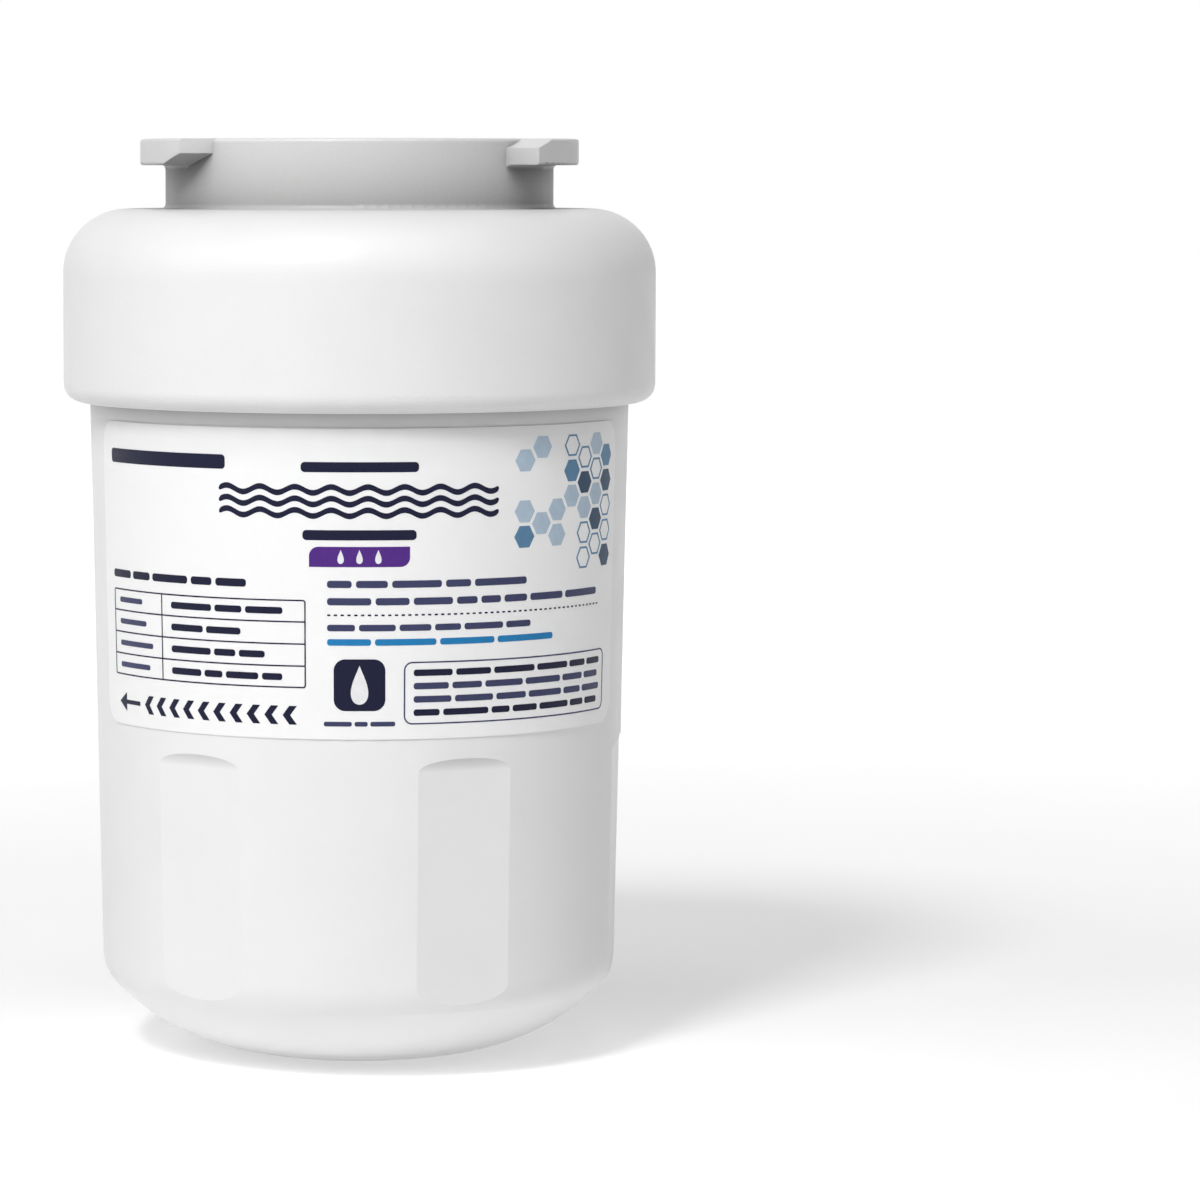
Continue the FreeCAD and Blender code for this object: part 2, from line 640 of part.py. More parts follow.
def make_bottom_end_cap():
    body = new_body("bottom_end_cap")
    skirt_top = f"({LOWER_PLATE_TOP} + {size('cap_skirt_depth')})"
    pedestal = half("pedestal_diameter")
    pedestal_inside = f"({pedestal} - {size('pedestal_wall')})"
    turn_outline(
        body,
        "Revolution",
        "cap",
        [
            ("0", LOWER_PLATE),
            (pedestal_inside, LOWER_PLATE),
            (pedestal_inside, size("sump_wall")),
            (pedestal, size("sump_wall")),
            (pedestal, LOWER_PLATE),
            (CAP, LOWER_PLATE),
            (CAP, skirt_top),
            (CAP_INSIDE, skirt_top),
            (CAP_INSIDE, LOWER_PLATE_TOP),
            ("0", LOWER_PLATE_TOP),
        ],
    )
    fin_root = f"({CAP} - {size('cap_skirt_wall')} / 2)"
    fin_tip = sump_side(LOWER_PLATE_TOP, f"(0 - {size('sump_wall')} - {size('fin_clearance')})")
    edge = half("fin_width")
    outline = new_sketch(body, "fin_outline", "XY_Plane", LOWER_PLATE_TOP)
    draw_outline(
        outline,
        [
            (fin_root, f"(0 - {edge})"),
            (fin_tip, f"(0 - {edge})"),
            (fin_tip, edge),
            (fin_root, edge),
        ],
    )
    fin = body.newObject("PartDesign::Pad", "fin")
    fin.Profile = outline
    fin.setExpression("Length", size("cap_skirt_depth"))
    doc.recompute()
    around(body, "fins", fin, size("fin_count"))
    notch_top = f"({size('sump_wall')} + {size('drain_height')})"
    notch_edge = half("drain_width")
    notch_outline = new_sketch(body, "notch_outline", "XY_Plane", notch_top)
    draw_outline(
        notch_outline,
        [
            ("0", f"(0 - {notch_edge})"),
            (f"({pedestal} + {OVERSHOOT})", f"(0 - {notch_edge})"),
            (f"({pedestal} + {OVERSHOOT})", notch_edge),
            ("0", notch_edge),
        ],
    )
    notch = body.newObject("PartDesign::Pocket", "notch")
    notch.Profile = notch_outline
    notch.setExpression("Length", size("drain_height"))
    doc.recompute()
    around(body, "notches", notch, size("drain_count"))
    return body


def make_outer_net():
    """The plastic net: a thin sleeve with rows of diamond openings."""
    body = new_body("outer_net")
    turn_outline(
        body,
        "Revolution",
        "sleeve",
        [(NET_INSIDE, BLOCK_BOTTOM), (NET, BLOCK_BOTTOM), (NET, BLOCK_TOP), (NET_INSIDE, BLOCK_TOP)],
    )
    strand = size("net_strand")
    row_pitch = f"(({BLOCK_TOP} - {BLOCK_BOTTOM} - {strand}) / {size('net_rows')})"
    half_gap = f"({NET} * sin(180 deg / {size('net_columns')}) - {strand} / 2)"
    low = f"({BLOCK_BOTTOM} + {strand})"
    high = f"({BLOCK_BOTTOM} + {row_pitch})"
    middle = f"(({low} + {high}) / 2)"
    opening = new_sketch(body, "opening_outline")
    draw_outline(
        opening,
        [("0", low), (half_gap, middle), ("0", high), (f"(0 - {half_gap})", middle)],
    )
    cut = body.newObject("PartDesign::Pocket", "opening")
    cut.Profile = opening
    cut.setExpression("Length", f"{NET} + {OVERSHOOT}")
    doc.recompute()
    rows = body.newObject("PartDesign::LinearPattern", "rows")
    rows.Direction = (origin_of(body, "Z_Axis"), [""])
    rows.setExpression("Length", f"{row_pitch} * ({size('net_rows')} - 1)")
    rows.setExpression("Occurrences", size("net_rows"))
    columns = body.newObject("PartDesign::PolarPattern", "columns")
    columns.Axis = (origin_of(body, "Z_Axis"), [""])
    columns.Angle = FULL_TURN
    columns.setExpression("Occurrences", size("net_columns"))
    grid = body.newObject("PartDesign::MultiTransform", "openings")
    grid.Originals = [cut]
    grid.Transformations = [rows, columns]
    body.Tip = grid
    doc.recompute()
    return body


# Label: a thin film on the front of the sump
def make_label():
    body = new_body("label")
    glue = size("label_glue")
    face = f"({glue} + {size('label_thickness')})"
    turn_outline(
        body,
        "Revolution",
        "film",
        [
            (sump_side(LABEL_BOTTOM, glue), LABEL_BOTTOM),
            (sump_side(LABEL_BOTTOM, face), LABEL_BOTTOM),
            (sump_side(LABEL_TOP, face), LABEL_TOP),
            (sump_side(LABEL_TOP, glue), LABEL_TOP),
        ],
        LABEL_ANGLE,
    )
    corner = size("label_corner")
    past = f"({corner} + {OVERSHOOT})"
    swing = f"asin({corner} / {sump_side(LABEL_TOP)})"
    cutters = [
        [
            ("0", LABEL_TOP, corner),
            (corner, f"({LABEL_TOP} - {corner})"),
            (past, f"({LABEL_TOP} - {corner})"),
            (past, f"({LABEL_TOP} + {OVERSHOOT})"),
            ("0", f"({LABEL_TOP} + {OVERSHOOT})"),
        ],
        [
            (corner, f"({LABEL_BOTTOM} + {corner})", corner),
            ("0", LABEL_BOTTOM),
            ("0", f"({LABEL_BOTTOM} - {OVERSHOOT})"),
            (past, f"({LABEL_BOTTOM} - {OVERSHOOT})"),
            (past, f"({LABEL_BOTTOM} + {corner})"),
        ],
    ]
    outline = new_sketch(body, "corner_outline")
    outline.AttachmentOffset.Rotation.Axis = FreeCAD.Vector(0, 1, 0)
    outline.setExpression("AttachmentOffset.Rotation.Angle", f"90 deg + {LABEL_ANGLE} / 2 - {swing}")
    for cutter in cutters:
        draw_outline(outline, cutter)
    corners = body.newObject("PartDesign::Pocket", "corners")
    corners.Profile = outline
    corners.Midplane = True
    corners.setExpression("Length", f"4 * {COLLAR}")
    doc.recompute()
    mirrored = body.newObject("PartDesign::Mirrored", "both_ends")
    mirrored.Originals = [corners]
    mirrored.MirrorPlane = (origin_of(body, "XZ_Plane"), [""])
    body.Tip = mirrored
    body.Placement = FreeCAD.Placement(FreeCAD.Vector(), FreeCAD.Vector(0, 0, 1), -90)
    doc.recompute()
    return body


# The cartridge, from the outside in
squeezed_section = f"({SOCKET} - {STUB_GROOVE} - 2 * {size('seal_clearance')})"
parts = [
    make_sump(),
    make_head(),
    make_label(),
    make_o_ring("inlet_o_ring", INLET_GROOVE, size("inlet_seal_section"), INLET_GROOVE_MIDDLE),
    make_o_ring("outlet_o_ring", OUTLET_GROOVE, size("outlet_seal_section"), OUTLET_GROOVE_MIDDLE),
    make_top_end_cap(),
    make_bottom_end_cap(),
    make_ring("carbon_block", BLOCK_BORE, BLOCK, BLOCK_BOTTOM, BLOCK_TOP),
    make_ring("prefilter_wrap", WRAP_INSIDE, WRAP, BLOCK_BOTTOM, BLOCK_TOP),
    make_outer_net(),
    make_ring("top_glue_ring", BLOCK_BORE, NET, BLOCK_TOP, UPPER_PLATE_LOW),
    make_ring("bottom_glue_ring", BLOCK_BORE, NET, LOWER_PLATE_TOP, BLOCK_BOTTOM),
]
for place, height in zip(("lower", "upper"), stub_groove_middles()):
    parts.append(make_o_ring(f"{place}_stub_o_ring", STUB_GROOVE, squeezed_section, height))

doc.recompute()
for item in doc.Objects:
    if "Invalid" in item.State or "Error" in item.State:
        raise RuntimeError(f"{item.Label} failed: {item.State}")
for part in parts:
    if part.Shape.isNull() or not part.Shape.isValid():
        raise RuntimeError(f"{part.Label} has no valid shape")

os.makedirs("parts", exist_ok=True)
for part in parts:
    part.Shape.exportStep(f"parts/{part.Label}.step")
    print(f"{part.Label}: {len(part.Shape.Solids)} solid, {part.Shape.Volume:.1f} mm3")
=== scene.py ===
"""Looks of the refrigerator water filter cartridge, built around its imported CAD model.

Lengths in the materials and the print are in millimetres. The print is laid out as on the label's flat
film: u runs around the sump from the middle of the front, to the right, and z is the height above the
foot. The stage, the lamps and the camera are in metres, as Blender is.
"""

import math
import random
from collections import namedtuple

import bmesh
import bpy
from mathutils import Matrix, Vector


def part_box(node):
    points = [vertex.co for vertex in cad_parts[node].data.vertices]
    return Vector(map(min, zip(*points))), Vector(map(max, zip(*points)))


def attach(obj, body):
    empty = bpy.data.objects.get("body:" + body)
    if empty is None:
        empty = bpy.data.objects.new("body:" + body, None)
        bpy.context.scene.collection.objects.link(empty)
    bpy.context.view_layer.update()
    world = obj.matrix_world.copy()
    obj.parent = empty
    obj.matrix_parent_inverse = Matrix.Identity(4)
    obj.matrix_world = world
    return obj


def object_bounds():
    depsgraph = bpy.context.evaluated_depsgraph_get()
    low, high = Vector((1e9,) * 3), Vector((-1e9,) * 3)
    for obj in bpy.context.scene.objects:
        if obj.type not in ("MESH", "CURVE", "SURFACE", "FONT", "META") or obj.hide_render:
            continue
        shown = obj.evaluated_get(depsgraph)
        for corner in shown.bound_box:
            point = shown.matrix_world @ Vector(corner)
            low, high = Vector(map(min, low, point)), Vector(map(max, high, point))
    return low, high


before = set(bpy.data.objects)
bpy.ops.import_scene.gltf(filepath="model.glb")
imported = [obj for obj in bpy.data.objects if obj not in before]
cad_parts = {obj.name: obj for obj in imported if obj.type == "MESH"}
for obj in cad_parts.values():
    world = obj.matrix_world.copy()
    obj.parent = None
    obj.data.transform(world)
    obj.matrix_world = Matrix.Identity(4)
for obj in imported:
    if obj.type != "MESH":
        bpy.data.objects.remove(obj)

cad_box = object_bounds()

MM = 0.001
SEED = 7

# Node helpers
NOISE_RANGE = (0.3, 0.7)        # where most of a noise's values lie
MOTTLE_RANGE = (0.35, 0.65)     # where a mottled colour goes from its darkest to its palest
OPEN_SPACE_SAMPLES = 8
SOFT_EDGE_SAMPLES = 4


class Shader:
    """A material's node tree with one Principled shader, and short ways to feed it."""

    def __init__(self, name):
        self.material = bpy.data.materials.new(name)
        self.material.use_nodes = True
        self.nodes = self.material.node_tree.nodes
        self.links = self.material.node_tree.links
        self.surface = self.nodes["Principled BSDF"]
        self.place = self.nodes.new("ShaderNodeTexCoord").outputs["Object"]

    def set(self, **values):
        """Constants on the shader's own sockets, with an underscore for each space in their names."""
        for name, value in values.items():
            self.surface.inputs[name.replace("_", " ")].default_value = value

    def feed(self, name, output):
        self.links.new(output, self.surface.inputs[name])

    def noise(self, size_mm, detail=2.0, roughness=0.5, stretch=(1, 1, 1)):
        """Noise whose features are about that many millimetres across."""
        mapping = self.nodes.new("ShaderNodeMapping")
        mapping.inputs["Scale"].default_value = stretch
        self.links.new(self.place, mapping.inputs["Vector"])
        texture = self.nodes.new("ShaderNodeTexNoise")
        texture.inputs["Scale"].default_value = 1 / (size_mm * MM)
        texture.inputs["Detail"].default_value = detail
        texture.inputs["Roughness"].default_value = roughness
        self.links.new(mapping.outputs["Vector"], texture.inputs["Vector"])
        return texture.outputs["Fac"]

    def cells(self, size_mm):
        """Distance to the middle of cells about that many millimetres across."""
        texture = self.nodes.new("ShaderNodeTexVoronoi")
        texture.inputs["Scale"].default_value = 1 / (size_mm * MM)
        self.links.new(self.place, texture.inputs["Vector"])
        return texture.outputs["Distance"]

    def height(self):
        """Height above the foot, in metres."""
        axes = self.nodes.new("ShaderNodeSeparateXYZ")
        self.links.new(self.place, axes.inputs["Vector"])
        return axes.outputs["Z"]

    def off_axis(self):
        """Distance from the cartridge's axis, in metres."""
        level = self.nodes.new("ShaderNodeVectorMath")
        level.operation = "MULTIPLY"
        level.inputs[1].default_value = (1, 1, 0)
        self.links.new(self.place, level.inputs[0])
        length = self.nodes.new("ShaderNodeVectorMath")
        length.operation = "LENGTH"
        self.links.new(level.outputs["Vector"], length.inputs[0])
        return length.outputs["Value"]

    def normal(self):
        return self.nodes.new("ShaderNodeNewGeometry").outputs["Normal"]

    def facing_up(self):
        """One on faces that look up, minus one on those that look down."""
        axes = self.nodes.new("ShaderNodeSeparateXYZ")
        self.links.new(self.normal(), axes.inputs["Vector"])
        return axes.outputs["Z"]

    def open_space(self, reach_mm, lean=0.0):
        """Share of the space before a face that the piece itself leaves open, the view leant up."""
        raised = self.nodes.new("ShaderNodeVectorMath")
        raised.operation = "ADD"
        raised.inputs[1].default_value = (0, 0, lean)
        self.links.new(self.normal(), raised.inputs[0])
        unit = self.nodes.new("ShaderNodeVectorMath")
        unit.operation = "NORMALIZE"
        self.links.new(raised.outputs["Vector"], unit.inputs[0])
        found = self.nodes.new("ShaderNodeAmbientOcclusion")
        found.only_local = True
        found.samples = OPEN_SPACE_SAMPLES
        found.inputs["Distance"].default_value = reach_mm * MM
        self.links.new(unit.outputs["Vector"], found.inputs["Normal"])
        return found.outputs["AO"]

    def power(self, value, exponent):
        node = self.nodes.new("ShaderNodeMath")
        node.operation = "POWER"
        node.inputs[1].default_value = exponent
        self.links.new(value, node.inputs[0])
        return node.outputs["Value"]

    def pick(self, operation, first, second):
        """The MINIMUM or the MAXIMUM of two values."""
        node = self.nodes.new("ShaderNodeMath")
        node.operation = operation
        self.links.new(first, node.inputs[0])
        self.links.new(second, node.inputs[1])
        return node.outputs["Value"]

    def times(self, colour, share):
        node = self.nodes.new("ShaderNodeVectorMath")
        node.operation = "MULTIPLY"
        self.links.new(colour, node.inputs[0])
        self.links.new(share, node.inputs[1])
        return node.outputs["Vector"]

    def between(self, value, start, end, low, high):
        """A value from start to end, as a number from low to high and held there beyond."""
        node = self.nodes.new("ShaderNodeMapRange")
        settings = {"From Min": start, "From Max": end, "To Min": low, "To Max": high}
        for name, number in settings.items():
            node.inputs[name].default_value = number
        self.links.new(value, node.inputs["Value"])
        return node.outputs["Result"]

    def spread(self, factor, low, high):
        """A noise's middle range, spread from low to high."""
        return self.between(factor, *NOISE_RANGE, low, high)

    def ramp(self, factor, stops):
        """Colours along a factor, each stop a position and a colour."""
        node = self.nodes.new("ShaderNodeValToRGB")
        points = node.color_ramp.elements
        while len(points) < len(stops):
            points.new(0.5)
        for point, (position, colour) in zip(points, stops):
            point.position = position
            point.color = (*colour, 1.0)
        self.links.new(factor, node.inputs["Fac"])
        return node.outputs["Color"]

    def mottle(self, factor, colour, darkest):
        """A colour that a noise takes down to a share of itself."""
        darker = tuple(darkest * value for value in colour)
        return self.ramp(factor, list(zip(MOTTLE_RANGE, (darker, colour))))

    def bump(self, height, depth_mm, strength, under=None):
        """A bump that is that deep, on top of another normal if it is given."""
        node = self.nodes.new("ShaderNodeBump")
        node.inputs["Strength"].default_value = strength
        node.inputs["Distance"].default_value = depth_mm * MM
        self.links.new(height, node.inputs["Height"])
        if under is not None:
            self.links.new(under, node.inputs["Normal"])
        self.feed("Normal", node.outputs["Normal"])
        return node.outputs["Normal"]

    def soft_edges(self, radius_mm):
        """A normal that rounds the look of sharp moulded edges."""
        node = self.nodes.new("ShaderNodeBevel")
        node.samples = SOFT_EDGE_SAMPLES
        node.inputs["Radius"].default_value = radius_mm * MM
        return node.outputs["Normal"]


def linear(red, green, blue):
    """Blender's colour for a display colour of 0 to 255, by the sRGB curve."""
    def channel(value):
        value /= 255
        return value / 12.92 if value <= 0.04045 else ((value + 0.055) / 1.055) ** 2.4
    return tuple(channel(value) for value in (red, green, blue))


# Materials. A turn is how far a face looks up, from 1 to -1, where a tone starts and where it is full
EDGE_ROUND = 0.3                # look of the moulded edges
NECK_EDGE = 28.6                # from the axis to the fillet at the neck's root
LUG_LEVEL = 126.0               # a height between the collar and the lugs
PAINTED_NECK_SHADE = 0.88                # painted shade: the neck and lugs are made greyer than the collar
NECK_FADE = 0.5                 # the way that this change to painted shade takes
CORNER_SHADE_REACH = 30               # how far the painted shade of a corner reaches on the head
CORNER_LEAST = 0.68             # the least that the painted corner shade leaves of a wall's tone
TOP_LEAST = 0.95                # and of the tone of a face that looks up
TOP_TURN = (0.4, 0.95)
OVERHANG_LEAN = 0.9             # how far the view is leant up that finds the places under the lugs
OVERHANG_OPEN = 0.8             # what that view finds at least on an open wall
OVERHANG_SHADE_POWER = 1.7            # a larger number makes the painted shade under the lugs deeper
UNDERSIDE_LEAST = 0.65          # the least that the painted overhang shade leaves of an underside's tone
UNDERSIDE_TURN = (-0.3, -0.7)
LEDGE_FLOOR = 40.0              # a height below the ledges of the finger flats and above the dome
LEDGE_FADE = 0.1
LEDGE_SHADE = 0.8                # painted shade: what is left of the tone where a ledge looks down most
LEDGE_TURN = (-0.02, -0.5)
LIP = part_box("head")[0][2] / MM     # height of the collar's lip, the head's lowest edge
LIP_REACH = 8                   # how far the painted shade under the lip reaches down
# Shares of that reach, and what is left of the tone there
LIP_SHADE = [(0.0, 0.5), (0.125, 0.66), (0.25, 0.785), (0.5, 0.91), (1.0, 1.0)]


def moulded_plastic(shader, colour, under=None):
    """Satin white polypropylene: faint mottling, uneven gloss, slow sink waves and a fine grain."""
    shader.feed("Roughness", shader.spread(shader.noise(size_mm=6, detail=5), low=0.36, high=0.46))
    waves = shader.bump(shader.noise(size_mm=22, detail=1), depth_mm=0.025, strength=0.5, under=under)
    shader.bump(shader.noise(size_mm=0.35, detail=3), depth_mm=0.004, strength=0.35, under=waves)
    shader.set(IOR=1.49)
    return shader.mottle(shader.noise(size_mm=14, detail=4), colour, darkest=0.98)


def under_collar(shader, tone):
    """A tone that is greyer close under the collar, where the overhang keeps the light off."""
    depth = shader.between(shader.height(), LIP * MM, (LIP - LIP_REACH) * MM, 0.0, 1.0)
    stops = [(place, (share, share, share)) for place, share in LIP_SHADE]
    return shader.times(tone, shader.ramp(depth, stops))


def sump_plastic_painted_shade(name, colour):
    """The sump's plastic, with painted shade on the down-facing ledges of its finger flats and close under
    the collar.
    """
    shader = Shader(name)
    tone = moulded_plastic(shader, colour)
    # Painted shade on faces that look down, kept off the dome below the ledges
    ledge = shader.between(shader.facing_up(), *LEDGE_TURN, 1.0, LEDGE_SHADE)
    dome = shader.between(shader.height(), LEDGE_FLOOR * MM, (LEDGE_FLOOR + LEDGE_FADE) * MM, 1.0, 0.0)
    tone = shader.times(tone, shader.pick("MAXIMUM", ledge, dome))
    shader.feed("Base Color", under_collar(shader, tone))
    return shader.material


def head_plastic_painted_shade(name, colour):
    """The head's plastic with softened edges, and painted shade on the neck, in its corners and under the
    lugs.
    """
    shader = Shader(name)
    tone = moulded_plastic(shader, colour, shader.soft_edges(EDGE_ROUND))
    up = shader.facing_up()
    # Painted shade in the corners, where the head itself closes off the space before a face; less on faces
    # that look up
    least = shader.between(up, *TOP_TURN, CORNER_LEAST, TOP_LEAST)
    tone = shader.times(tone, shader.pick("MAXIMUM", shader.open_space(CORNER_SHADE_REACH), least))
    # Painted shade under the lugs, where the head closes off the space above a face; held lighter on
    # undersides
    above = shader.between(shader.open_space(CORNER_SHADE_REACH, OVERHANG_LEAN), 0.0, OVERHANG_OPEN, 0.0, 1.0)
    below = shader.between(up, *UNDERSIDE_TURN, 0.0, UNDERSIDE_LEAST)
    tone = shader.times(tone, shader.pick("MAXIMUM", shader.power(above, OVERHANG_SHADE_POWER), below))
    # Painted shade: the neck, from its root's fillet inwards, and the lugs, above a height between them and
    # the collar, are made greyer
    neck_end = NECK_EDGE + NECK_FADE
    lug_start = LUG_LEVEL + NECK_FADE
    inner = shader.between(shader.off_axis(), NECK_EDGE * MM, neck_end * MM, PAINTED_NECK_SHADE, 1.0)
    upper = shader.between(shader.height(), LUG_LEVEL * MM, lug_start * MM, 1.0, PAINTED_NECK_SHADE)
    shader.feed("Base Color", shader.times(tone, shader.pick("MINIMUM", inner, upper)))
    return shader.material


def printed_film(name, colour):
    """Satin label film, whiter and smoother than the plastic under it."""
    shader = Shader(name)
    tone = shader.mottle(shader.noise(size_mm=3, detail=4), colour, darkest=0.985)
    # Painted shade close under the collar
    shader.feed("Base Color", under_collar(shader, tone))
    shader.feed("Roughness", shader.spread(shader.noise(size_mm=2.5, detail=4), low=0.34, high=0.42))
    shader.bump(shader.noise(size_mm=0.5, detail=3), depth_mm=0.003, strength=0.3)
    shader.set(IOR=1.5)
    return shader.material


def ink(name, colour):
    """A printed field: solid colour with the slight unevenness of an ink film."""
    shader = Shader(name)
    shader.feed("Base Color", shader.mottle(shader.noise(size_mm=1.2, detail=5), colour, darkest=0.93))
    shader.feed("Roughness", shader.spread(shader.noise(size_mm=0.8, detail=4), low=0.36, high=0.44))
    shader.bump(shader.noise(size_mm=0.4, detail=2), depth_mm=0.002, strength=0.3)
    shader.set(Specular_IOR_Level=0.2)
    return shader.material


def rubber(name, colour):
    """Black rubber with an uneven film of lubricant."""
    shader = Shader(name)
    shader.feed("Base Color", shader.mottle(shader.noise(size_mm=1.5, detail=4), colour, darkest=0.55))
    shader.feed("Roughness", shader.spread(shader.noise(size_mm=1.0, detail=4), low=0.3, high=0.5))
    shader.bump(shader.noise(size_mm=0.25, detail=3), depth_mm=0.01, strength=0.4)
    return shader.material


def natural_plastic(name, colour):
    """Unpigmented plastic: milky and a little see-through."""
    shader = Shader(name)
    shader.feed("Base Color", shader.mottle(shader.noise(size_mm=9, detail=4), colour, darkest=0.93))
    shader.feed("Roughness", shader.spread(shader.noise(size_mm=4, detail=4), low=0.38, high=0.52))
    shader.bump(shader.noise(size_mm=0.4, detail=3), depth_mm=0.006, strength=0.4)
    shader.set(Subsurface_Weight=0.15, Subsurface_Scale=0.002)
    return shader.material


def sintered_carbon(name):
    """Carbon grains pressed into a block: black and matt, with paler grain faces."""
    shader = Shader(name)
    grains = shader.cells(size_mm=0.5)
    tones = [(0.0, (0.03, 0.03, 0.032)), (0.5, (0.014, 0.014, 0.015)), (0.9, (0.005, 0.005, 0.005))]
    shader.feed("Base Color", shader.ramp(grains, tones))
    shader.feed("Roughness", shader.spread(shader.noise(size_mm=0.6, detail=3), low=0.55, high=0.95))
    holes = shader.noise(size_mm=2.2, detail=5, roughness=0.65)
    pores = shader.bump(holes, depth_mm=0.12, strength=0.6)
    shader.bump(grains, depth_mm=0.15, strength=0.8, under=pores)
    return shader.material


def needle_felt(name, colour):
    """White fibres lying every way."""
    shader = Shader(name)
    fibres = shader.noise(size_mm=0.25, detail=6, roughness=0.75, stretch=(1, 1, 0.35))
    shader.feed("Base Color", shader.mottle(fibres, colour, darkest=0.82))
    shader.feed("Roughness", shader.spread(shader.noise(size_mm=1.5, detail=3), low=0.85, high=1.0))
    clumps = shader.bump(shader.noise(size_mm=2.5, detail=4), depth_mm=0.15, strength=0.6)
    shader.bump(fibres, depth_mm=0.12, strength=0.8, under=clumps)
    shader.set(Sheen_Weight=0.25)
    return shader.material


def hot_melt(name, colour):
    """Set glue: amber, glossy and slightly lumpy."""
    shader = Shader(name)
    shader.feed("Base Color", shader.mottle(shader.noise(size_mm=3, detail=4), colour, darkest=0.8))
    shader.feed("Roughness", shader.spread(shader.noise(size_mm=2, detail=3), low=0.2, high=0.38))
    shader.bump(shader.noise(size_mm=1.8, detail=3), depth_mm=0.08, strength=0.5)
    shader.set(Subsurface_Weight=0.2, Subsurface_Scale=0.002)
    return shader.material


seal_rubber = rubber("black_rubber", (0.022, 0.022, 0.023))
cap_plastic = natural_plastic("cap_plastic", (0.80, 0.81, 0.82))
amber_glue = hot_melt("amber_glue", (0.75, 0.66, 0.45))
NODE_MATERIALS = {
    "sump": sump_plastic_painted_shade("sump_plastic_painted_shade", (0.90, 0.90, 0.898)),
    "head": head_plastic_painted_shade("head_plastic_painted_shade", (0.89, 0.89, 0.888)),
    "label": printed_film("label_film", (0.985, 0.985, 0.986)),
    "inlet_o_ring": seal_rubber,
    "outlet_o_ring": seal_rubber,
    "lower_stub_o_ring": seal_rubber,
    "upper_stub_o_ring": seal_rubber,
    "top_end_cap": cap_plastic,
    "bottom_end_cap": cap_plastic,
    "carbon_block": sintered_carbon("pressed_carbon"),
    "prefilter_wrap": needle_felt("white_felt", (0.82, 0.82, 0.80)),
    "outer_net": natural_plastic("net_plastic", (0.85, 0.86, 0.87)),
    "top_glue_ring": amber_glue,
    "bottom_glue_ring": amber_glue,
}
for name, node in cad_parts.items():
    for slot in node.material_slots:
        slot.material = NODE_MATERIALS[name]


# Where the print lies: the outer face of the label's film, a slightly tapered cylinder
EDGE_TOLERANCE = 0.01           # a point this near a long edge's height is on that edge


def film_face():
    """Heights and radii of the film's two long edges."""
    points = [vertex.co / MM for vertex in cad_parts["label"].data.vertices]
    low = min(point.z for point in points)
    high = max(point.z for point in points)
    edges = []
    for height in (low, high):
        radii = [point.xy.length for point in points if abs(point.z - height) < EDGE_TOLERANCE]
        edges.append((height, max(radii)))
    return edges


(FILM_LOW, FILM_LOW_RADIUS), (FILM_HIGH, FILM_HIGH_RADIUS) = film_face()
FILM_RADIUS = (FILM_LOW_RADIUS + FILM_HIGH_RADIUS) / 2


def on_film(u, z, lift):
    """The place of a point of the flat print, that far out from the film's face."""
    share = (z - FILM_LOW) / (FILM_HIGH - FILM_LOW)
    radius = FILM_LOW_RADIUS + share * (FILM_HIGH_RADIUS - FILM_LOW_RADIUS) + lift
    angle = u / FILM_RADIUS
    return Vector((radius * math.sin(angle), -radius * math.cos(angle), z)) * MM


# Printing: every field is a thin closed ribbon, cut often enough to follow the film's curve
INK_LIFT = 0.02                 # how far the ink stands proud of the film
OVERPRINT = 0.045               # the same for ink on ink
INK_ROOT = -0.03                # the ribbon's underside lies in the film
STEP = 0.8                      # longest straight run along a printed edge
CORNER_STEPS = 8
SLIVER = 0.02                   # half the height of a field at a pointed end
WORD_SPACE = 0.6                # between two words, as a share of their height
WORD_CORNER = 0.4               # a word's round corners, as a share of its height
WORD_SHORTEST = 0.35            # the shortest word, as a share of the longest
WORD_REST = 0.4                 # a rest of a line under this share of it goes to the word before
DROP_WIDTH = 0.62               # a larger number makes a wider drop
DROP_TAPER = 1.4                # a larger number makes its point slimmer


class Area(namedtuple("Area", "left right low high")):
    """A rectangle of the flat print."""

    @property
    def middle(self):
        return (self.left + self.right) / 2, (self.low + self.high) / 2


def corner_cuts(left, right, corner):
    """Where the round corners at both ends of a field bend."""
    turns = [1 - math.cos(math.pi / 2 * index / CORNER_STEPS) for index in range(CORNER_STEPS + 1)]
    return [left + corner * turn for turn in turns] + [right - corner * turn for turn in turns]


def corner_loss(u, left, right, corner):
    """What the round corners take off a field's height near its ends."""
    inset = max(0.0, corner - min(u - left, right - u))
    return corner - math.sqrt(max(0.0, corner**2 - inset**2))


def box_outline(area, corner):
    """An anticlockwise rectangle with round corners, with points close enough to follow the film."""
    centres = [
        (area.right - corner, area.low + corner, -90),
        (area.right - corner, area.high - corner, 0),
        (area.left + corner, area.high - corner, 90),
        (area.left + corner, area.low + corner, 180),
    ]
    corners = []
    for u, z, turn in centres:
        for index in range(CORNER_STEPS + 1):
            angle = math.radians(turn + 90 * index / CORNER_STEPS)
            corners.append(Vector((u + corner * math.cos(angle), z + corner * math.sin(angle))))
    points = []
    for start, end in zip(corners, corners[1:] + corners[:1]):
        count = max(1, math.ceil((end - start).length / STEP))
        points += [start.lerp(end, index / count) for index in range(count)]
    return points


def hexagon_outline(u, z, reach):
    """A hexagon's corners, anticlockwise from the one on the right."""
    turns = [math.radians(60 * index) for index in range(6)]
    return [Vector((u + reach * math.cos(turn), z + reach * math.sin(turn))) for turn in turns]


